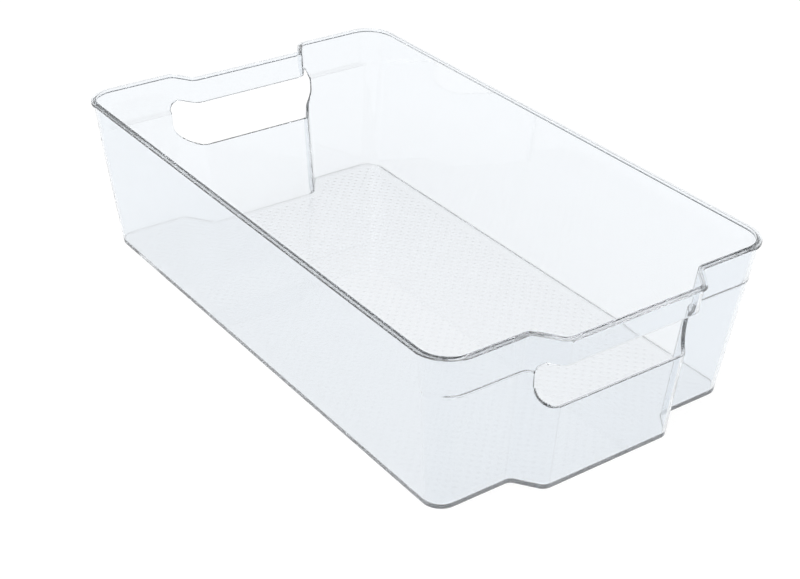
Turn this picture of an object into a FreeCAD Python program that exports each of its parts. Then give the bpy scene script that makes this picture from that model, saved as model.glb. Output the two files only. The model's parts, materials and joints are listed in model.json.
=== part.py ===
import FreeCAD, Part
import math
import os

import Sketcher

# Clear fridge bin with a finger slot through each end.
# +Z is up, the front handle faces -Y, and the bin's width runs along X.
# The origin is the centre of the underside of the overall box.

# Driving sizes, in millimetres and degrees.
SIZES = {
    "body_length": 365.0,         # rim, from front shoulder to rear shoulder
    "body_width": 218.0,          # rim, outside
    "body_height": 96.0,
    "wall": 2.0,
    "floor_thickness": 2.2,
    "draft_angle": 6.0,           # every wall leans out by this much
    "corner_radius_rim": 18.0,    # outside of the wall, at the rim
    "corner_radius_base": 11.0,   # outside of the wall, at the base
    "base_rounding": 1.8,
    "rim_overhang": 1.2,          # rim bead, beyond the wall
    "rim_height": 2.4,
    "rim_rounding": 1.0,
    "ledge_height": 71.5,         # underside of the proud upper band on both ends
    "ledge_depth": 1.7,
    "handle_projection": 15.0,    # front handle, beyond the front shoulders
    "handle_width_rim": 99.0,     # between the middles of its slanted returns
    "handle_width_base": 93.0,
    "handle_angle": 54.0,         # slanted return, from the end wall's plane
    "recess_depth_rim": 13.0,     # rear handle, inside the rear shoulders
    "recess_depth_base": 18.0,
    "recess_width_rim": 86.0,
    "recess_width_base": 84.0,
    "recess_angle": 56.0,
    "bend_radius": 5.5,           # middle of the wall, where the returns start and end
    "slot_width": 103.0,
    "slot_bottom": 53.0,
    "slot_top": 79.5,
    "slot_lower_radius": 12.0,
    "slot_upper_radius": 8.0,
    "corner_reach": 28.0,         # a corner piece, along each wall from the rim's edge
}

os.makedirs("parts", exist_ok=True)
doc = FreeCAD.newDocument("fridge_bin")
sheet = doc.addObject("Spreadsheet::Sheet", "Sizes")
for row, (alias, size) in enumerate(SIZES.items(), start=1):
    sheet.set(f"A{row}", alias)
    sheet.set(f"B{row}", str(size))
    sheet.setAlias(f"B{row}", alias)
doc.recompute()


def value(formula):
    """The number that a formula over the sheet gives now."""
    result = sheet.evalExpression(formula)
    return float(getattr(result, "Value", result))


def tangent(angle):
    return f"tan({angle} * 1 deg)"


def cosine(angle):
    return f"cos({angle} * 1 deg)"


# --- where everything lies, as formulas over the sheet ---

HEIGHT = "Sizes.body_height"
RIM_UNDERSIDE = "(Sizes.body_height - Sizes.rim_height)"
LEDGE = "Sizes.ledge_height"
INNER_LEDGE = "(Sizes.ledge_height + Sizes.wall)"
FLOOR_TOP = "Sizes.floor_thickness"
CENTRE_SHIFT = "(Sizes.handle_projection / 2)"


def taper(height):
    """How far a wall has leaned in at this height, from its place at the rim."""
    return f"(({HEIGHT} - {height}) * {tangent('Sizes.draft_angle')})"


def between(base, rim, height):
    """A size that runs evenly from its base value to its rim value."""
    return f"({base} + ({rim} - {base}) * {height} / {HEIGHT})"


def outline_formulas(height, offset, ledge):
    """The bin's outline at one height, as formulas.

    offset moves it out from the wall's outer face, and ledge moves both end
    walls in.
    """
    side = f"(Sizes.body_width / 2 - Sizes.rim_overhang - {taper(height)} + {offset})"
    shoulder = f"(Sizes.body_length / 2 - Sizes.rim_overhang - {taper(height)} - {ledge} + {offset})"
    handle_middle = between("Sizes.handle_width_base", "Sizes.handle_width_rim", height) + " / 2"
    recess_middle = between("Sizes.recess_width_base", "Sizes.recess_width_rim", height) + " / 2"
    handle_depth = "Sizes.handle_projection"
    recess_depth = between("Sizes.recess_depth_base", "Sizes.recess_depth_rim", height)
    outward_bend = f"(Sizes.bend_radius + Sizes.wall / 2 + {offset})"
    inward_bend = f"(Sizes.bend_radius - Sizes.wall / 2 - {offset})"

    def slant(middle, depth, angle, flat_bend, shoulder_bend):
        """Half-widths where the slanted return's straight stretch starts and ends."""
        half_run = f"{depth} / 2 / {tangent(angle)}"
        reach = f"{tangent(angle + ' / 2')} * {cosine(angle)}"
        return (f"({middle} - {half_run} + {flat_bend} * {reach})",
                f"({middle} + {half_run} - {shoulder_bend} * {reach})")

    lean = f"{offset} * {tangent('Sizes.handle_angle / 2')}"
    handle = slant(f"({handle_middle} + {lean})", handle_depth, "Sizes.handle_angle",
                   outward_bend, inward_bend)
    lean = f"{offset} * {tangent('Sizes.recess_angle / 2')}"
    recess = slant(f"({recess_middle} - {lean})", recess_depth, "Sizes.recess_angle",
                   inward_bend, outward_bend)
    return {
        "side": side,
        "front_shoulder": f"({shoulder} - {CENTRE_SHIFT})",
        "front_flat": f"({shoulder} + {handle_depth} - {CENTRE_SHIFT})",
        "rear_shoulder": f"({shoulder} + {CENTRE_SHIFT})",
        "rear_flat": f"({shoulder} - {recess_depth} + {CENTRE_SHIFT})",
        "handle_start": handle[0],
        "handle_end": handle[1],
        "recess_start": recess[0],
        "recess_end": recess[1],
        "corner": between("Sizes.corner_radius_base", "Sizes.corner_radius_rim", height) + f" + {offset}",
        "outward_bend": outward_bend,
        "inward_bend": inward_bend,
    }


# --- sketches ---

def new_sketch(body, name, plane_role):
    sketch = body.newObject("Sketcher::SketchObject", name)
    plane = next(p for p in body.Origin.OriginFeatures if p.Role == plane_role)
    sketch.AttachmentSupport = (plane, [""])
    sketch.MapMode = "FlatFace"
    return sketch


def bind(sketch, constraint, name, formula):
    """Add a dimension and tie it to the sheet."""
    index = sketch.addConstraint(constraint)
    sketch.renameConstraint(index, name)
    sketch.setExpression(f"Constraints.{name}", f"({formula}) * 1 mm")


def half_width(sketch, line, end, name, formula, side):
    """Tie a line's end to a distance left (-1) or right (+1) of the centre."""
    ends = (-1, 1, line, end) if side > 0 else (line, end, -1, 1)
    bind(sketch, Sketcher.Constraint("DistanceX", *ends, value(formula)), name, formula)


def rounded_loop(sketch, corners):
    """A closed loop of lines and tangent arcs through (x, y, radius) corners.

    Line i runs from corner i to the next one, and arc i rounds corner i.
    Returns the number that the first arc has in the sketch.
    """
    count = len(corners)
    entries, exits, arcs = [], [], []
    for i, (x, y, radius) in enumerate(corners):
        here = FreeCAD.Vector(x, y, 0)
        incoming = (here - FreeCAD.Vector(*corners[i - 1][:2], 0)).normalize()
        outgoing = (FreeCAD.Vector(*corners[(i + 1) % count][:2], 0) - here).normalize()
        turn = math.atan2(incoming.cross(outgoing).z, incoming.dot(outgoing))
        reach = radius * math.tan(abs(turn) / 2)
        entry = here - incoming * reach
        leave = here + outgoing * reach
        leftward = FreeCAD.Vector(-incoming.y, incoming.x, 0)
        centre = entry + leftward * math.copysign(radius, turn)
        first, last = (entry, leave) if turn > 0 else (leave, entry)
        start = math.atan2(first.y - centre.y, first.x - centre.x)
        stop = math.atan2(last.y - centre.y, last.x - centre.x)
        arcs.append((Part.ArcOfCircle(Part.Circle(centre, FreeCAD.Vector(0, 0, 1), radius),
                                      start, stop if stop > start else stop + 2 * math.pi), turn > 0))
        entries.append(entry)
        exits.append(leave)
    for i in range(count):
        sketch.addGeometry(Part.LineSegment(exits[i], entries[(i + 1) % count]))
    for arc, _ in arcs:
        sketch.addGeometry(arc)
    for i, (_, left_turn) in enumerate(arcs):
        entry_end, exit_end = (1, 2) if left_turn else (2, 1)
        sketch.addConstraint(Sketcher.Constraint("Tangent", (i - 1) % count, 2, count + i, entry_end))
        sketch.addConstraint(Sketcher.Constraint("Tangent", count + i, exit_end, i, 1))
    return count


def outline_sketch(body, name, plane_height, height, offset, ledge):
    """The bin's outline at one height, drawn on a plane at plane_height.

    It has four corners, a bowed-out front and a bowed-in rear.
    """
    sketch = new_sketch(body, name, "XY_Plane")
    sketch.setExpression(".AttachmentOffset.Base.z", f"({plane_height}) * 1 mm")
    formulas = outline_formulas(height, offset, ledge)
    now = {key: value(formula) for key, formula in formulas.items()}

    # Where the slanted returns would meet the flats and shoulders if they were sharp.
    handle_bend = math.tan(math.radians(value("Sizes.handle_angle")) / 2)
    recess_bend = math.tan(math.radians(value("Sizes.recess_angle")) / 2)
    handle_run = math.cos(math.radians(value("Sizes.handle_angle")))
    recess_run = math.cos(math.radians(value("Sizes.recess_angle")))
    outward, inward, corner = now["outward_bend"], now["inward_bend"], now["corner"]
    handle_near = now["handle_start"] - outward * handle_bend * handle_run
    handle_far = now["handle_end"] + inward * handle_bend * handle_run
    recess_near = now["recess_start"] - inward * recess_bend * recess_run
    recess_far = now["recess_end"] + outward * recess_bend * recess_run
    side = now["side"]
    front_flat, front_shoulder = -now["front_flat"], -now["front_shoulder"]
    rear_flat, rear_shoulder = now["rear_flat"], now["rear_shoulder"]
    right = [(handle_near, front_flat, outward), (handle_far, front_shoulder, inward),
             (side, front_shoulder, corner), (side, rear_shoulder, corner),
             (recess_far, rear_shoulder, outward), (recess_near, rear_flat, inward)]
    left = [(-x, y, radius) for x, y, radius in reversed(right)]
    first_arc = rounded_loop(sketch, right + left)

    # Lines in order: 0 right front return, 1 right front shoulder, 2 right side,
    # 3 right rear shoulder, 4 right rear return, 5 rear flat, and the left half's
    # 6 rear return, 7 rear shoulder, 8 side, 9 front shoulder, 10 front return, 11 front flat.
    for line in (1, 3, 5, 7, 9, 11):
        sketch.addConstraint(Sketcher.Constraint("Horizontal", line))
    for line in (2, 8):
        sketch.addConstraint(Sketcher.Constraint("Vertical", line))
    half_width(sketch, 2, 1, "right_side", formulas["side"], 1)
    half_width(sketch, 8, 1, "left_side", formulas["side"], -1)
    for side_name, sign, front_line, front_ends, rear_line, rear_ends in (
            ("right", 1, 0, (1, 2), 4, (2, 1)), ("left", -1, 10, (2, 1), 6, (1, 2))):
        for line, corner, size in ((front_line, front_ends[0], "handle_start"),
                                   (front_line, front_ends[1], "handle_end"),
                                   (rear_line, rear_ends[0], "recess_start"),
                                   (rear_line, rear_ends[1], "recess_end")):
            half_width(sketch, line, corner, f"{side_name}_{size}", formulas[size], sign)
    for line, name_here, key in ((11, "front_flat", "front_flat"), (1, "right_front", "front_shoulder"),
                                 (9, "left_front", "front_shoulder")):
        bind(sketch, Sketcher.Constraint("DistanceY", line, 1, -1, 1, now[key]), name_here, formulas[key])
    for line, name_here, key in ((5, "rear_flat", "rear_flat"), (3, "right_rear", "rear_shoulder"),
                                 (7, "left_rear", "rear_shoulder")):
        bind(sketch, Sketcher.Constraint("DistanceY", -1, 1, line, 1, now[key]), name_here, formulas[key])
    for key, loop_corners in (("outward_bend", (0, 4, 7, 11)), ("inward_bend", (1, 5, 6, 10)),
                              ("corner", (2, 3, 8, 9))):
        first = first_arc + loop_corners[0]
        bind(sketch, Sketcher.Constraint("Radius", first, now[key]), key, formulas[key])
        for other in loop_corners[1:]:
            sketch.addConstraint(Sketcher.Constraint("Equal", first, first_arc + other))
    return sketch


def slot_sketch(body, name, side_plane):
    """A finger slot, seen from the end: large lower corners and small upper ones."""
    sketch = new_sketch(body, name, side_plane)
    half, low, high = (value(f) for f in ("Sizes.slot_width / 2", "Sizes.slot_bottom", "Sizes.slot_top"))
    large, small = value("Sizes.slot_lower_radius"), value("Sizes.slot_upper_radius")
    first_arc = rounded_loop(sketch, [(half, low, large), (half, high, small),
                                      (-half, high, small), (-half, low, large)])
    # Lines in order: 0 right end, 1 top, 2 left end, 3 bottom.
    for line in (1, 3):
        sketch.addConstraint(Sketcher.Constraint("Horizontal", line))
    for line in (0, 2):
        sketch.addConstraint(Sketcher.Constraint("Vertical", line))
    half_width(sketch, 0, 1, "right_end", "Sizes.slot_width / 2", 1)
    half_width(sketch, 2, 1, "left_end", "Sizes.slot_width / 2", -1)
    bind(sketch, Sketcher.Constraint("DistanceY", -1, 1, 3, 1, low), "bottom", "Sizes.slot_bottom")
    bind(sketch, Sketcher.Constraint("DistanceY", -1, 1, 1, 1, high), "top", "Sizes.slot_top")
    for corner, name_here, alias in ((0, "lower_right", "slot_lower_radius"),
                                     (3, "lower_left", "slot_lower_radius"),
                                     (1, "upper_right", "slot_upper_radius"),
                                     (2, "upper_left", "slot_upper_radius")):
        bind(sketch, Sketcher.Constraint("Radius", first_arc + corner, value(f"Sizes.{alias}")),
             name_here, f"Sizes.{alias}")
    return sketch


# --- the moulding ---

moulding = doc.addObject("PartDesign::Body", "moulding")
UPPER, LOWER = "0", "Sizes.ledge_depth"
OUTSIDE, INSIDE = "0", "(0 - Sizes.wall)"


def loft(kind, name, bottom, top, offset, ledge):
    """A ruled wall block between two heights, added to or cut from the moulding."""
    lower = outline_sketch(moulding, f"{name}_foot", bottom, bottom, offset, ledge)
    upper = outline_sketch(moulding, f"{name}_head", top, top, offset, ledge)
    feature = moulding.newObject(kind, name)
    feature.Profile = lower
    feature.Sections = [upper]
    feature.Ruled = True
    doc.recompute()


def edges_at(shape, height):
    """Names of the edges that lie at one height."""
    names = []
    for number, edge in enumerate(shape.Edges, start=1):
        box = edge.BoundBox
        if abs(box.ZMin - height) < 1e-4 and abs(box.ZMax - height) < 1e-4:
            names.append(f"Edge{number}")
    return names


def round_edges(name, height, radius):
    """Round every edge at one height of the moulding as it stands."""
    base = moulding.Tip
    rounding = moulding.newObject("PartDesign::Fillet", name)
    rounding.Base = (base, edges_at(base.Shape, value(height)))
    rounding.setExpression("Radius", f"{radius} * 1 mm")
    doc.recompute()


loft("PartDesign::AdditiveLoft", "lower_walls", "0", LEDGE, OUTSIDE, LOWER)
loft("PartDesign::AdditiveLoft", "upper_walls", LEDGE, HEIGHT, OUTSIDE, UPPER)
round_edges("base_edge", "0", "Sizes.base_rounding")

rim_outline = outline_sketch(moulding, "rim_outline", RIM_UNDERSIDE, HEIGHT, "Sizes.rim_overhang", UPPER)
rim_bead = moulding.newObject("PartDesign::Pad", "rim_bead")
rim_bead.Profile = rim_outline
rim_bead.setExpression("Length", "Sizes.rim_height * 1 mm")
doc.recompute()

loft("PartDesign::SubtractiveLoft", "lower_hollow", FLOOR_TOP, INNER_LEDGE, INSIDE, LOWER)
loft("PartDesign::SubtractiveLoft", "upper_hollow", INNER_LEDGE, HEIGHT, INSIDE, UPPER)
round_edges("rim_edges", HEIGHT, "Sizes.rim_rounding")

for name, toward_rear in (("front_slot", False), ("rear_slot", True)):
    slot = moulding.newObject("PartDesign::Pocket", name)
    slot.Profile = slot_sketch(moulding, f"{name}_outline", "XZ_Plane")
    slot.Type = "ThroughAll"
    slot.Reversed = toward_rear
    doc.recompute()


# --- the moulding's named regions, which meet face to face ---

CORNER_X = "(Sizes.body_width / 2 - Sizes.corner_reach)"
FRONT_CORNER = f"(Sizes.corner_reach + {CENTRE_SHIFT} - Sizes.body_length / 2)"
REAR_CORNER = f"(Sizes.body_length / 2 + {CENTRE_SHIFT} - Sizes.corner_reach)"
HANDLE_RUN = f"Sizes.handle_projection / 2 / {tangent('Sizes.handle_angle')} + Sizes.bend_radius"
RECESS_RUN = f"Sizes.recess_depth_base / 2 / {tangent('Sizes.recess_angle')} + Sizes.bend_radius"
HANDLE_INNER = f"(Sizes.handle_width_base / 2 - ({HANDLE_RUN}))"
HANDLE_OUTER = f"(Sizes.handle_width_rim / 2 + {HANDLE_RUN})"
RECESS_INNER = f"(Sizes.recess_width_base / 2 - ({RECESS_RUN}))"
RECESS_OUTER = f"(Sizes.recess_width_rim / 2 + {RECESS_RUN})"
SLOT_MIDDLE = "((Sizes.slot_bottom + Sizes.slot_top) / 2)"
BEYOND = "Sizes.body_length"
FRONT_END, REAR_END = (f"(0 - {BEYOND})", FRONT_CORNER), (REAR_CORNER, BEYOND)
FRONT_HALF, REAR_HALF = (f"(0 - {BEYOND})", "0"), ("0", BEYOND)
WALLS, RIM = (FLOOR_TOP, RIM_UNDERSIDE), (RIM_UNDERSIDE, BEYOND)
EVERYWHERE = (f"(0 - {BEYOND})", BEYOND)

nodes = []


def stretch(name, stock, x_span, y_span, z_span):
    """The part of the stock that lies within a box."""
    box = doc.addObject("Part::Box", f"{name}_region")
    for axis, size, (low, high) in (("x", "Length", x_span), ("y", "Width", y_span),
                                    ("z", "Height", z_span)):
        box.setExpression(f"Placement.Base.{axis}", f"({low}) * 1 mm")
        box.setExpression(size, f"({high} - {low}) * 1 mm")
    piece = doc.addObject("Part::Common", name)
    piece.Base = stock
    piece.Tool = box
    piece.Label = name
    return piece


def node(name, stock, x_span, y_span, z_span):
    nodes.append(stretch(name, stock, x_span, y_span, z_span))


def left_and_right(end, name, stock, near, far, y_span):
    """A left and a right wall node, between two distances from the centre."""
    node(f"{end}_left_{name}", stock, (f"(0 - {far})", f"(0 - {near})"), y_span, WALLS)
    node(f"{end}_right_{name}", stock, (near, far), y_span, WALLS)


node("floor_panel", moulding, EVERYWHERE, EVERYWHERE, (f"(0 - {FLOOR_TOP})", FLOOR_TOP))
for side, x_span in (("left", (f"(0 - {BEYOND})", f"(0 - {CORNER_X})")), ("right", (CORNER_X, BEYOND))):
    node(f"{side}_side_wall", moulding, x_span, (FRONT_CORNER, REAR_CORNER), WALLS)
    node(f"{side}_rim", moulding, x_span, (FRONT_CORNER, REAR_CORNER), RIM)
for end, end_span, half_span, inner, outer in (
        ("front", FRONT_END, FRONT_HALF, HANDLE_INNER, HANDLE_OUTER),
        ("rear", REAR_END, REAR_HALF, RECESS_INNER, RECESS_OUTER)):
    half = stretch(f"{end}_half", moulding, EVERYWHERE, half_span, (FLOOR_TOP, BEYOND))
    middle = (f"(0 - {inner})", inner)
    left_and_right(end, "corner", half, CORNER_X, BEYOND, end_span)
    left_and_right(end, "shoulder", half, outer, CORNER_X, half_span)
    left_and_right(end, "return", half, inner, outer, half_span)
    node(f"{end}_grip_panel", half, middle, half_span, (FLOOR_TOP, SLOT_MIDDLE))
    node(f"{end}_handle_band", half, middle, half_span, (SLOT_MIDDLE, RIM_UNDERSIDE))
    node(f"{end}_rim", half, EVERYWHERE, end_span, RIM)
doc.recompute()

# --- check and write ---

for item in doc.Objects:
    if {"Invalid", "Error"} & set(item.State):
        raise RuntimeError(f"{item.Label} did not build: {item.State}")
for piece in nodes:
    if piece.Shape.isNull() or not piece.Shape.isValid() or not piece.Shape.Solids:
        raise RuntimeError(f"{piece.Label} is not a valid solid")
total = sum(piece.Shape.Volume for piece in nodes)
if abs(total - moulding.Shape.Volume) > 1e-4 * total:
    raise RuntimeError("the nodes leave part of the moulding out, or overlap")

for piece in nodes:
    piece.Shape.exportStep(f"parts/{piece.Label}.step")
    print(f"{piece.Label}: {len(piece.Shape.Solids)} solid, {piece.Shape.Volume / 1000:.2f} cm3")
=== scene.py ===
import json
import math

import bmesh
import bpy
from mathutils import Matrix

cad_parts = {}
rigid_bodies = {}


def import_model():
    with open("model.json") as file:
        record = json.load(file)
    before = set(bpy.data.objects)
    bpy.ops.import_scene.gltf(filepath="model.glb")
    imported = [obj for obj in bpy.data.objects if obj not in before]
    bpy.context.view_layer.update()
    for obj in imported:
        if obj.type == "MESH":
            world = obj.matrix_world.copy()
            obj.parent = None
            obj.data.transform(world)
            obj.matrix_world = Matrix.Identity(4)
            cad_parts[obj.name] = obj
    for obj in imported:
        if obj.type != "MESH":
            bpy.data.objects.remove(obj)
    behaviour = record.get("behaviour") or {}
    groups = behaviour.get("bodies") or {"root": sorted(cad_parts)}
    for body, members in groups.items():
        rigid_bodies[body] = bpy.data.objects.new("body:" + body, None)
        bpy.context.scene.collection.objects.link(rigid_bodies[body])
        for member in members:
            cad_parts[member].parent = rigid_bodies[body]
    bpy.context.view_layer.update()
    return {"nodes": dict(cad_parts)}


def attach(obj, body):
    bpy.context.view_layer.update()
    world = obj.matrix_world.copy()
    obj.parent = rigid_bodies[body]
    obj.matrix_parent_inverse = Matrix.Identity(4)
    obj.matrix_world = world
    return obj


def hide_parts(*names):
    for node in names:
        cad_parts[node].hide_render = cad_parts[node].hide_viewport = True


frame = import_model()

MM = 0.001
TINY = 0.00001

# --- sizes of the moulding, in metres and radians ---

HEIGHT = 96.0 * MM
HALF_WIDTH = 107.8 * MM          # centre to the side wall's outer face, at the rim
HALF_LENGTH = 181.3 * MM         # middle to the end wall's outer face, at the rim
MIDDLE = 7.5 * MM                # the front handle sticks out, so the box's middle lies behind
WALL = 2.0 * MM
FLOOR_TOP = 2.2 * MM
DRAFT = math.radians(6.0)
CORNER_BASE = 11.0 * MM
CORNER_RIM = 18.0 * MM
BASE_ROUNDING = 0.5 * MM
FLOOR_ROUNDING = 0.8 * MM
RIM_OVERHANG = 1.2 * MM
RIM_UNDERSIDE = 93.6 * MM
RIM_ROUNDING = 0.7 * MM
RIM_LIP_ROUNDING = 0.5 * MM
RIM_ROOT = 0.3 * MM              # size of the soft inner corner under the rim
RIM_ROOT_EASE = 0.05 * MM
RIM_REBATE = 0.6 * MM            # the rim's outer part lies this much lower
REBATE_OUTER = -0.65 * MM        # foot and top of the slope behind it
REBATE_INNER = -1.45 * MM
REBATE_EASE = 0.08 * MM          # softening at both ends of that slope
RIM_INNER_ROUNDING = 0.4 * MM
LEDGE_HEIGHT = 71.5 * MM
LEDGE_DEPTH = 2.0 * MM
LEDGE_RAMP = 1.0 * MM            # half the height of the ledge's slope, outside
INNER_RAMP = 0.62 * MM           # and inside
LEDGE_FADE = 3.2 * MM            # the ledge dies out in the corners
INNER_LEDGE = 72.7 * MM
# How far up the ledge's slope, in ramps from its middle, and how much of its step is made.
LEDGE_PROFILE = ((-1.3, 0.0), (-1.0, 0.03), (-0.8, 0.1), (0.8, 0.9), (1.0, 0.97), (1.3, 1.0))
OUTWARD_BEND = 6.5 * MM          # outer face of a bend that turns outward
INWARD_BEND = 4.5 * MM

HANDLE_DEPTH = 15.0 * MM         # the front end bows out by this much
HANDLE_BASE = 93.0 * MM
HANDLE_RIM = 99.0 * MM
HANDLE_TURN = math.radians(54.0)
RECESS_DEPTH_BASE = 18.0 * MM    # the rear end bows in by this much
RECESS_DEPTH_RIM = 13.0 * MM
RECESS_BASE = 84.0 * MM
RECESS_RIM = 86.0 * MM
RECESS_TURN = math.radians(56.0)

SLOT_HALF_WIDTH = 51.5 * MM
SLOT_BOTTOM = 53.0 * MM
SLOT_TOP = 79.5 * MM
SLOT_LOWER_RADIUS = 12.0 * MM
SLOT_UPPER_RADIUS = 8.0 * MM
SLOT_EDGE = 0.65 * MM            # rounding of the slot's edges
SLOT_BAR_DEPTH = 50.0 * MM       # the cutting bar's length, through one end
SLOT_ENDS = ((-175.0 * MM, 0.8), (175.0 * MM, 0.0))    # each bar's middle, and its flare

GRIP_CELL = 3.3 * MM             # raised grip dots sit on every other cell of this grid
GRIP_MARGIN = 4.0 * MM
GRIP_INSET = 0.45 * MM
GRIP_CORNER = 0.7 * MM
GRIP_SLOPE = 0.7 * MM
GRIP_HEIGHT = 0.15 * MM

# Faces round each kind of curve.
CORNER_STEPS = 12
BEND_STEPS = 7
SECTION_STEPS = 6
LIP_STEPS = 4
SLOT_STEPS = 12
SLOT_EDGE_STEPS = 3
SMOOTH_ANGLE = math.radians(32)  # sharper edges than this stay crisp

# --- finishes: sRGB colours, and lengths in metres ---

PLASTIC_COLOUR = "F6F9FC"
PLASTIC_IOR = 1.58
PLASTIC_CLEARNESS = 0.98         # the rest is a trace of white haze
TONER_COLOUR = "C8CCD0"
TONER_DENSITY = 5.0              # per metre
FLOW_LENGTH = 45 * MM            # from one flow wave to the next
FLOW_DEPTH = 0.15 * MM
FLOW_STRENGTH = 0.25
WEAR_SIZE = 12 * MM              # across a duller patch
WEAR_STARTS, WEAR_FULL = 0.35, 0.75                    # levels of the patches' noise
POLISHED, WORN, SATIN = 0.015, 0.06, 0.15              # roughness of each finish
SATIN_FULL, SATIN_GONE = 0.05 * MM, 0.1 * MM           # heights above the underside

# --- the studio's levels; 1 is white ---

OPAL_COLOUR = "606060"
OPAL_GLOW = 0.92
ROOM_LIGHT = 1.0
# The room's shade by the height that a ray looks up to, as the sine of its angle.
ROOM_SHADES = ((0.3, "FFFFFF"), (0.61, "FFFFFF"), (0.7, "A0A4A8"), (0.8, "404348"))
CEILING_COLOUR = "40444A"
TABLE_SIZE = 8.0
TABLE_GAP = 0.02 * MM            # keeps the table's top clear of the underside
LIGHT_BOUNCES = 64               # light passes many faces of clear plastic


# --- working in edit mode ---

def deselect_all():
    bpy.ops.object.select_all(action="DESELECT")


def edit_mode(mode="VERT"):
    bpy.ops.object.mode_set(mode="EDIT")
    bpy.ops.mesh.select_mode(type=mode)


def object_mode():
    bpy.ops.object.mode_set(mode="OBJECT")


def pick(kind, test):
    """Select just the vertices, edges or faces of the edited mesh that a test picks."""
    bpy.ops.mesh.select_mode(type={"verts": "VERT", "edges": "EDGE", "faces": "FACE"}[kind])
    bpy.ops.mesh.select_all(action="DESELECT")
    mesh = bpy.context.edit_object.data
    shape = bmesh.from_edit_mesh(mesh)
    for element in getattr(shape, kind):
        element.select = bool(test(element))
    shape.select_flush_mode()
    bmesh.update_edit_mesh(mesh)


def near(number, target):
    return abs(number - target) < TINY


# --- the bin's outline at one height ---

def lean(z):
    """How far a wall has leaned in at this height, from its place at the rim."""
    return (HEIGHT - z) * math.tan(DRAFT)


def between(base, rim, z):
    return base + (rim - base) * z / HEIGHT


class Outline:
    """Where the outline's corners lie, before they are rounded.

    out is how far it lies outside the wall's outer face at the rim, and ledge
    moves both end walls in.
    """

    def __init__(self, z, out, ledge=0.0):
        offset = out + lean(z)
        half_length = HALF_LENGTH + out - ledge
        recess_depth = between(RECESS_DEPTH_BASE, RECESS_DEPTH_RIM, z)
        handle_middle = between(HANDLE_BASE, HANDLE_RIM, z) / 2 + offset * math.tan(HANDLE_TURN / 2)
        recess_middle = between(RECESS_BASE, RECESS_RIM, z) / 2 - offset * math.tan(RECESS_TURN / 2)
        handle_run = HANDLE_DEPTH / 2 / math.tan(HANDLE_TURN)
        recess_run = recess_depth / 2 / math.tan(RECESS_TURN)
        self.z = z
        self.side = HALF_WIDTH + out
        self.half_length = half_length
        self.front = MIDDLE - half_length
        self.front_flat = self.front - HANDLE_DEPTH
        self.rear = MIDDLE + half_length
        self.rear_flat = self.rear - recess_depth
        self.handle_near = handle_middle - handle_run
        self.handle_far = handle_middle + handle_run
        self.recess_near = recess_middle - recess_run
        self.recess_far = recess_middle + recess_run
        fade = LEDGE_FADE * ledge / LEDGE_DEPTH * z / LEDGE_HEIGHT
        self.corner_radius = between(CORNER_BASE, CORNER_RIM, z) + offset - fade
        self.outward_radius = OUTWARD_BEND + offset
        self.inward_radius = INWARD_BEND - offset


def bow_end(line, y, flat, near_x, far_x):
    """Give one end of the flat sheet four corners, and move the middle two to the flat."""
    pick("verts", lambda v: near(v.co.y, y) and near(v.co.z, line.z))
    bpy.ops.mesh.subdivide(number_cuts=4)
    inner, outer = 0.2 * line.side, 0.6 * line.side     # where four even cuts fall
    for start, target in ((inner, near_x), (outer, far_x)):
        pick("verts", lambda v: near(abs(v.co.x), start) and near(v.co.y, y) and near(v.co.z, line.z))
        bpy.ops.transform.resize(value=(target / start, 1, 1), center_override=(0, y, line.z))
        if start == inner:
            bpy.ops.transform.translate(value=(0, flat - y, 0))


def round_corners(line, x, y, radius, turn, steps):
    """Round the left and right corner that lie at a distance x from the centre."""
    pick("verts", lambda v: near(abs(v.co.x), x) and near(v.co.y, y) and near(v.co.z, line.z))
    bpy.ops.mesh.bevel(offset_type="OFFSET", offset=radius * math.tan(turn / 2), segments=steps,
                       profile=0.5, affect="VERTICES")


def draw_outline(line):
    """A plane, shaped into the outline of the bin at one height."""
    bpy.ops.mesh.select_mode(type="VERT")
    bpy.ops.mesh.select_all(action="DESELECT")
    bpy.ops.mesh.primitive_plane_add(size=2, location=(0, MIDDLE, line.z))
    bpy.ops.transform.resize(value=(line.side, line.half_length, 1),
                             center_override=(0, MIDDLE, line.z))
    bow_end(line, line.front, line.front_flat, line.handle_near, line.handle_far)
    bow_end(line, line.rear, line.rear_flat, line.recess_near, line.recess_far)
    right_angle = math.pi / 2
    round_corners(line, line.handle_near, line.front_flat, line.outward_radius, HANDLE_TURN, BEND_STEPS)
    round_corners(line, line.handle_far, line.front, line.inward_radius, HANDLE_TURN, BEND_STEPS)
    round_corners(line, line.recess_near, line.rear_flat, line.inward_radius, RECESS_TURN, BEND_STEPS)
    round_corners(line, line.recess_far, line.rear, line.outward_radius, RECESS_TURN, BEND_STEPS)
    round_corners(line, line.side, line.front, line.corner_radius, right_angle, CORNER_STEPS)
    round_corners(line, line.side, line.rear, line.corner_radius, right_angle, CORNER_STEPS)
    bpy.ops.mesh.select_linked()


# --- the wall's section, from the underside, up the outside and down the inside ---

def arc(centre_out, centre_z, radius, first, last, steps):
    """Places round an arc of the section. Angles are in degrees from straight out."""
    places = []
    for step in range(steps + 1):
        angle = math.radians(first + (last - first) * step / steps)
        places.append((centre_z + radius * math.sin(angle), centre_out + radius * math.cos(angle)))
    return places


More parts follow.
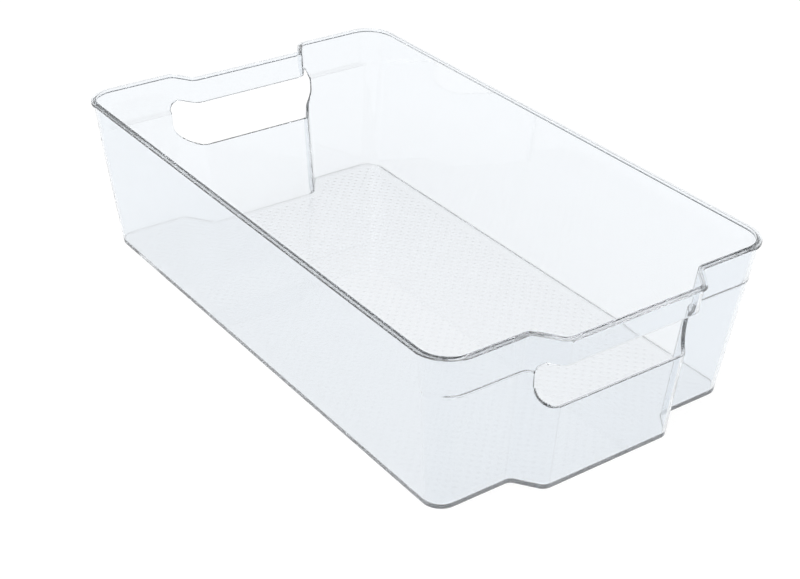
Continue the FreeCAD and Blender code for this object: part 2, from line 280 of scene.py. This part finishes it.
def wall_section():
    """(height, distance out, ledge) at each turn of the section."""
    draft = math.degrees(DRAFT)
    tuck = math.tan(math.pi / 4 - DRAFT / 2)     # a rounding's centre, from the wall it meets
    places = []

    def add(points, ledge):
        places.extend((z, out, ledge) for z, out in points)

    def step_over(z, inward, ramp, ledges):
        """Sloped step in both end walls, with softened edges, at an even height all round."""
        first, last = ledges
        rise = 1 if first > last else -1
        for height, share in LEDGE_PROFILE:
            here = z + rise * ramp * height
            places.append((here, -lean(here) - inward, first + (last - first) * share))

    base_out = -lean(0) - BASE_ROUNDING * tuck
    add(arc(base_out, BASE_ROUNDING, BASE_ROUNDING, -90, -draft, SECTION_STEPS), LEDGE_DEPTH)
    step_over(LEDGE_HEIGHT, 0.0, LEDGE_RAMP, (LEDGE_DEPTH, 0.0))

    root = RIM_UNDERSIDE - RIM_ROOT
    add([(root, -lean(root)), (RIM_UNDERSIDE - RIM_ROOT_EASE, 2 * RIM_ROOT_EASE),
         (RIM_UNDERSIDE, RIM_ROOT)], 0)
    add(arc(RIM_OVERHANG - RIM_LIP_ROUNDING, RIM_UNDERSIDE + RIM_LIP_ROUNDING, RIM_LIP_ROUNDING,
            -90, 0, LIP_STEPS), 0)
    rebate = HEIGHT - RIM_REBATE
    ease = REBATE_EASE
    add(arc(RIM_OVERHANG - RIM_ROUNDING, rebate - RIM_ROUNDING, RIM_ROUNDING,
            0, 90, SECTION_STEPS), 0)
    add([(rebate + ease / 4, REBATE_OUTER + ease / 2), (rebate + ease, REBATE_OUTER - ease),
         (HEIGHT - ease, REBATE_INNER + ease), (HEIGHT - ease / 4, REBATE_INNER - ease / 2)], 0)
    add(arc(-WALL + RIM_INNER_ROUNDING * tuck, HEIGHT - RIM_INNER_ROUNDING, RIM_INNER_ROUNDING,
            90, 180 - draft, SECTION_STEPS), 0)

    step_over(INNER_LEDGE, WALL, INNER_RAMP, (0.0, LEDGE_DEPTH))
    floor_out = -WALL - lean(FLOOR_TOP) - FLOOR_ROUNDING * tuck
    add(arc(floor_out, FLOOR_TOP + FLOOR_ROUNDING, FLOOR_ROUNDING,
            -draft, -90, SECTION_STEPS), LEDGE_DEPTH)
    return places


def mould_shell():
    """The whole wall and both faces of the floor, bridged from outline to outline."""
    deselect_all()
    bpy.ops.mesh.primitive_plane_add(size=1)
    shell = bpy.context.object
    shell.name = "clear_bin_shell"
    shell.data.name = shell.name
    edit_mode("VERT")
    bpy.ops.mesh.select_all(action="SELECT")
    bpy.ops.mesh.delete(type="VERT")
    for number, (z, out, ledge) in enumerate(wall_section()):
        draw_outline(Outline(z, out, ledge))
        if number == 0:
            continue
        bpy.ops.mesh.delete(type="ONLY_FACE")
        bpy.ops.mesh.select_all(action="DESELECT")
        bpy.ops.mesh.select_non_manifold(use_wire=True, use_boundary=True, use_multi_face=False,
                                         use_non_contiguous=False, use_verts=False)
        bpy.ops.mesh.bridge_edge_loops()
    bpy.ops.mesh.select_all(action="DESELECT")
    bpy.ops.mesh.select_non_manifold()
    bpy.ops.mesh.edge_face_add()
    bpy.ops.mesh.select_all(action="SELECT")
    bpy.ops.mesh.normals_make_consistent(inside=False)
    object_mode()
    return shell


# --- the finger slots ---

def slot_cutter(y, flare):
    """A bar with the finger slot's rounded section, through one end of the bin.

    flare is how fast the bar widens towards -Y, so that its ends can run square
    to the handle's slanted returns.
    """
    deselect_all()
    middle_z = (SLOT_BOTTOM + SLOT_TOP) / 2
    half_height = (SLOT_TOP - SLOT_BOTTOM) / 2
    bpy.ops.mesh.primitive_cube_add(size=1, location=(0, y, middle_z))
    bar = bpy.context.object
    edit_mode("VERT")
    bpy.ops.mesh.select_all(action="SELECT")
    bpy.ops.transform.resize(value=(2 * SLOT_HALF_WIDTH, SLOT_BAR_DEPTH, 2 * half_height),
                             center_override=(0, y, middle_z))
    for height, radius in ((-half_height, SLOT_LOWER_RADIUS), (half_height, SLOT_UPPER_RADIUS)):
        def runs_through(edge):
            first, second = (v.co for v in edge.verts)
            return near(first.z, height) and near(second.z, height) and near(first.x, second.x)

        pick("edges", runs_through)
        bpy.ops.mesh.bevel(offset_type="OFFSET", offset=radius, segments=SLOT_STEPS, profile=0.5,
                           affect="EDGES")
    for towards in (-1, 1):
        width = 1 - towards * flare * SLOT_BAR_DEPTH / 2 / SLOT_HALF_WIDTH
        pick("verts", lambda v: near(v.co.y, towards * SLOT_BAR_DEPTH / 2))
        bpy.ops.transform.resize(value=(width, 1, 1), center_override=(0, y, middle_z))
    bpy.ops.mesh.select_all(action="SELECT")
    bpy.ops.mesh.faces_shade_smooth()
    object_mode()
    return bar


def cut_with(shell, cutter):
    bpy.context.view_layer.objects.active = shell
    cut = shell.modifiers.new("finger_slot", "BOOLEAN")
    cut.operation = "DIFFERENCE"
    cut.solver = "EXACT"
    cut.object = cutter
    bpy.ops.object.modifier_apply(modifier=cut.name)
    bpy.data.objects.remove(cutter)


def soften_slot_edges(shell):
    """Round the edges where the slots come out of the wall's two faces.

    Only the faces that the cutters left are shaded smooth so far.
    """
    bpy.context.view_layer.objects.active = shell
    edit_mode("EDGE")
    pick("edges", lambda edge: sum(face.smooth for face in edge.link_faces) == 1)
    bpy.ops.mesh.bevel(offset_type="OFFSET", offset=SLOT_EDGE, segments=SLOT_EDGE_STEPS,
                       profile=0.5, affect="EDGES", clamp_overlap=False)
    object_mode()


# --- the floor's raised grip dots ---

def floor_reach(line, x):
    """Where the floor starts and ends at a distance x from the centre line."""
    x = abs(x)

    def along(near_x, far_x, flat, shoulder):
        share = min(max((x - near_x) / (far_x - near_x), 0.0), 1.0)
        return flat + (shoulder - flat) * share

    return (along(line.handle_near, line.handle_far, line.front_flat, line.front),
            along(line.recess_near, line.recess_far, line.rear_flat, line.rear))


def add_grip_dots(shell):
    """Rows of low dots, moulded on the floor, with a smooth margin along the walls."""
    tuck = math.tan(math.pi / 4 - DRAFT / 2)
    line = Outline(FLOOR_TOP, -WALL - lean(FLOOR_TOP) - FLOOR_ROUNDING * tuck, LEDGE_DEPTH)
    across = 2 * int((line.side - GRIP_MARGIN) / GRIP_CELL)
    along = 2 * int((line.half_length + HANDLE_DEPTH) / GRIP_CELL)
    low_x, low_y = -across / 2 * GRIP_CELL, -along / 2 * GRIP_CELL

    bpy.context.view_layer.objects.active = shell
    edit_mode("FACE")
    pick("faces", lambda f: near(f.calc_center_median().z, FLOOR_TOP) and f.normal.z > 0.9)
    bpy.ops.mesh.delete(type="ONLY_FACE")
    bpy.ops.mesh.select_mode(type="VERT")
    bpy.ops.mesh.select_all(action="DESELECT")
    bpy.ops.mesh.primitive_grid_add(x_subdivisions=across, y_subdivisions=along, size=1,
                                    location=(0, 0, FLOOR_TOP))
    bpy.ops.transform.resize(value=(across * GRIP_CELL, along * GRIP_CELL, 1),
                             center_override=(0, 0, FLOOR_TOP))

    def on_grid(face):
        middle = face.calc_center_median()
        return (near(middle.z, FLOOR_TOP) and face.normal.z > 0.9 and len(face.verts) == 4
                and near(face.calc_area(), GRIP_CELL ** 2))

    def beyond_margin(face):
        if not on_grid(face):
            return False
        middle = face.calc_center_median()
        front, rear = floor_reach(line, middle.x)
        room = GRIP_MARGIN + GRIP_CELL / 2
        return middle.y < front + room or middle.y > rear - room

    pick("faces", beyond_margin)
    bpy.ops.mesh.delete(type="FACE")
    bpy.ops.mesh.select_mode(type="EDGE")
    bpy.ops.mesh.select_all(action="DESELECT")
    bpy.ops.mesh.select_non_manifold()
    bpy.ops.mesh.fill(use_beauty=True)

    def every_other(face):
        if not on_grid(face):
            return False
        middle = face.calc_center_median()
        column = math.floor((middle.x - low_x) / GRIP_CELL)
        row = math.floor((middle.y - low_y) / GRIP_CELL)
        return (column + row) % 2 == 0

    pick("faces", every_other)
    bpy.ops.mesh.inset(thickness=GRIP_INSET, use_individual=True)
    bpy.ops.mesh.select_mode(type="VERT")
    bpy.ops.mesh.bevel(offset_type="OFFSET", offset=GRIP_CORNER, segments=1, affect="VERTICES")

    def dot_outline(face):
        return (near(face.calc_center_median().z, FLOOR_TOP) and face.normal.z > 0.9
                and len(face.verts) == 8 and face.calc_area() > 0.3 * GRIP_CELL ** 2)

    pick("faces", dot_outline)
    bpy.ops.mesh.inset(thickness=GRIP_SLOPE, depth=GRIP_HEIGHT, use_individual=True)
    object_mode()


# --- materials ---

def linear(hex_colour):
    """An sRGB hex colour as the linear colour that the shaders use."""
    channels = []
    for start in (0, 2, 4):
        level = int(hex_colour[start:start + 2], 16) / 255
        channels.append(level / 12.92 if level <= 0.04045 else ((level + 0.055) / 1.055) ** 2.4)
    return (*channels, 1.0)


def add_node(tree, kind, settings=None, inputs=None, links=None):
    """Add a node, with its settings, its sockets' values and what feeds them.

    A socket goes by its name, or by its number where two share a name.
    """
    node = tree.nodes.new(kind)
    for name, setting in (settings or {}).items():
        setattr(node, name, setting)
    for name, level in (inputs or {}).items():
        node.inputs[name].default_value = level
    for name, source in (links or {}).items():
        tree.links.new(source, node.inputs[name])
    return node


def clear_polystyrene():
    """Crystal polystyrene, injection moulded in a polished mould.

    Glassy and almost colourless with a faint blue toner. A polished mould leaves a
    mirror gloss, with slow waves where the plastic flowed and shrank, and use
    leaves a few duller patches. The mould's floor is lightly spark eroded, so the
    underside is a faint satin that lets some light out of the floor's edge.
    """
    material = bpy.data.materials.new("clear_polystyrene")
    material.use_nodes = True
    tree = material.node_tree
    tree.nodes.clear()
    place = add_node(tree, "ShaderNodeTexCoord").outputs["Object"]
    flow = add_node(tree, "ShaderNodeTexNoise", inputs={"Scale": 1 / FLOW_LENGTH, "Detail": 1.0},
                    links={"Vector": place})
    waves = add_node(tree, "ShaderNodeBump",
                     inputs={"Strength": FLOW_STRENGTH, "Distance": FLOW_DEPTH},
                     links={"Height": flow.outputs["Fac"]})
    wear = add_node(tree, "ShaderNodeTexNoise", inputs={"Scale": 1 / WEAR_SIZE, "Detail": 3.0},
                    links={"Vector": place})
    gloss = add_node(tree, "ShaderNodeMapRange",
                     inputs={"From Min": WEAR_STARTS, "From Max": WEAR_FULL,
                             "To Min": POLISHED, "To Max": WORN},
                     links={"Value": wear.outputs["Fac"]})
    height = add_node(tree, "ShaderNodeSeparateXYZ", links={"Vector": place}).outputs["Z"]
    satin = add_node(tree, "ShaderNodeMapRange",
                     inputs={"From Min": SATIN_FULL, "From Max": SATIN_GONE,
                             "To Min": SATIN, "To Max": 0.0},
                     links={"Value": height})
    finish = add_node(tree, "ShaderNodeMath", {"operation": "MAXIMUM"},
                      links={0: gloss.outputs["Result"], 1: satin.outputs["Result"]})
    plastic = add_node(tree, "ShaderNodeBsdfPrincipled",
                       inputs={"Base Color": linear(PLASTIC_COLOUR), "IOR": PLASTIC_IOR,
                               "Transmission Weight": PLASTIC_CLEARNESS},
                       links={"Roughness": finish.outputs[0], "Normal": waves.outputs["Normal"]})
    toner = add_node(tree, "ShaderNodeVolumeAbsorption",
                     inputs={"Color": linear(TONER_COLOUR), "Density": TONER_DENSITY})
    add_node(tree, "ShaderNodeOutputMaterial",
             links={"Surface": plastic.outputs["BSDF"], "Volume": toner.outputs["Volume"]})
    return material


def seen_directly(tree):
    """1 for rays that show something to the eye: straight, in gloss, or through plastic.

    Light that a matt surface has scattered doesn't count, even after it goes on
    through the plastic, so it still comes from the even room.
    """
    rays = add_node(tree, "ShaderNodeLightPath").outputs
    seen = rays["Is Camera Ray"]
    for kind in ("Is Glossy Ray", "Is Transmission Ray"):
        seen = add_node(tree, "ShaderNodeMath", {"operation": "MAXIMUM"},
                        links={0: seen, 1: rays[kind]}).outputs[0]
    unscattered = add_node(tree, "ShaderNodeMath", {"operation": "LESS_THAN"}, inputs={1: 0.5},
                           links={0: rays["Diffuse Depth"]})
    both = add_node(tree, "ShaderNodeMath", {"operation": "MULTIPLY"},
                    links={0: seen, 1: unscattered.outputs[0]})
    return both.outputs[0]


def light_table():
    """Matt opal acrylic, lit from below: it takes a soft shadow, and shows as white."""
    material = bpy.data.materials.new("opal_acrylic_light_table")
    material.use_nodes = True
    tree = material.node_tree
    tree.nodes.clear()
    sheet = add_node(tree, "ShaderNodeBsdfDiffuse", inputs={"Color": linear(OPAL_COLOUR)})
    amount = add_node(tree, "ShaderNodeMath", {"operation": "MULTIPLY"}, inputs={1: OPAL_GLOW},
                      links={0: seen_directly(tree)})
    glow = add_node(tree, "ShaderNodeEmission", inputs={"Color": linear("FFFFFF")},
                    links={"Strength": amount.outputs[0]})
    both = add_node(tree, "ShaderNodeAddShader",
                    links={0: sheet.outputs["BSDF"], 1: glow.outputs["Emission"]})
    add_node(tree, "ShaderNodeOutputMaterial", links={"Surface": both.outputs["Shader"]})
    return material


# --- studio ---

def lay_floor():
    deselect_all()
    bpy.ops.mesh.primitive_plane_add(size=TABLE_SIZE, location=(0, 0, -TABLE_GAP))
    floor = bpy.context.object
    floor.name = "studio_floor"
    floor.data.materials.append(light_table())


def light_room():
    """White all round at eye level, and a grey, darker room overhead."""
    world = bpy.data.worlds.new("studio_room")
    bpy.context.scene.world = world
    world.use_nodes = True
    tree = world.node_tree
    tree.nodes.clear()
    direction = add_node(tree, "ShaderNodeTexCoord").outputs["Generated"]
    height = add_node(tree, "ShaderNodeSeparateXYZ", links={"Vector": direction}).outputs["Z"]
    shown = add_node(tree, "ShaderNodeValToRGB", links={"Fac": height})
    bands = shown.color_ramp.elements
    bands[0].position, bands[0].color = 0.0, linear("FFFFFF")
    bands[1].position, bands[1].color = 1.0, linear(CEILING_COLOUR)
    for level, colour in ROOM_SHADES:
        bands.new(level).color = linear(colour)
    backdrop = add_node(tree, "ShaderNodeBackground", inputs={"Strength": 1.0},
                        links={"Color": shown.outputs["Color"]})
    fill_light = add_node(tree, "ShaderNodeBackground",
                          inputs={"Color": linear("FFFFFF"), "Strength": ROOM_LIGHT})
    room = add_node(tree, "ShaderNodeMixShader",
                    links={0: seen_directly(tree), 1: fill_light.outputs["Background"],
                           2: backdrop.outputs["Background"]})
    add_node(tree, "ShaderNodeOutputWorld", links={"Surface": room.outputs["Shader"]})


def hang_soft_box():
    """A square lamp up on the left, which faces the bin."""
    lamp = bpy.data.lights.new("key_soft_box", "AREA")
    lamp.shape = "SQUARE"
    lamp.size = 0.9
    lamp.energy = 6.0            # watts
    holder = bpy.data.objects.new(lamp.name, lamp)
    bpy.context.scene.collection.objects.link(holder)
    holder.location = (-0.9, -0.2, 1.3)
    holder.rotation_mode = "QUATERNION"
    holder.rotation_quaternion = holder.location.to_track_quat("Z", "Y")


def place_camera():
    """A long lens, from above the front's left corner. Angles are in radians."""
    yaw, pitch, roll = 0.627, -0.532, 0.019
    place = (-0.473311, -0.647142, 0.487736)
    camera = bpy.data.cameras.new("camera")
    camera.lens = 71.85
    camera.sensor_width = 36.0
    camera.clip_start, camera.clip_end = 0.01, 50.0
    holder = bpy.data.objects.new("camera", camera)
    bpy.context.scene.collection.objects.link(holder)
    turn = (Matrix.Rotation(-yaw, 4, "Z") @ Matrix.Rotation(math.pi / 2 + pitch, 4, "X")
            @ Matrix.Rotation(roll, 4, "Z"))
    holder.matrix_world = Matrix.Translation(place) @ turn
    bpy.context.scene.camera = holder


# --- make it ---

place_camera()
shell = mould_shell()
for end_y, flare in SLOT_ENDS:
    cut_with(shell, slot_cutter(end_y, flare))
soften_slot_edges(shell)
add_grip_dots(shell)
deselect_all()
shell.select_set(True)
bpy.context.view_layer.objects.active = shell
bpy.ops.object.transform_apply(location=True, rotation=True, scale=True)
bpy.ops.object.shade_smooth_by_angle(angle=SMOOTH_ANGLE)
even = shell.modifiers.new("even_shading", "WEIGHTED_NORMAL")
even.keep_sharp = True
bpy.ops.object.modifier_apply(modifier=even.name)
shell.data.materials.append(clear_polystyrene())
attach(shell, "root")
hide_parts(*sorted(frame["nodes"]))

lay_floor()
light_room()
hang_soft_box()
bpy.context.scene.view_settings.view_transform = "Standard"
for kind in ("max_bounces", "transmission_bounces", "glossy_bounces"):
    setattr(bpy.context.scene.cycles, kind, LIGHT_BOUNCES)
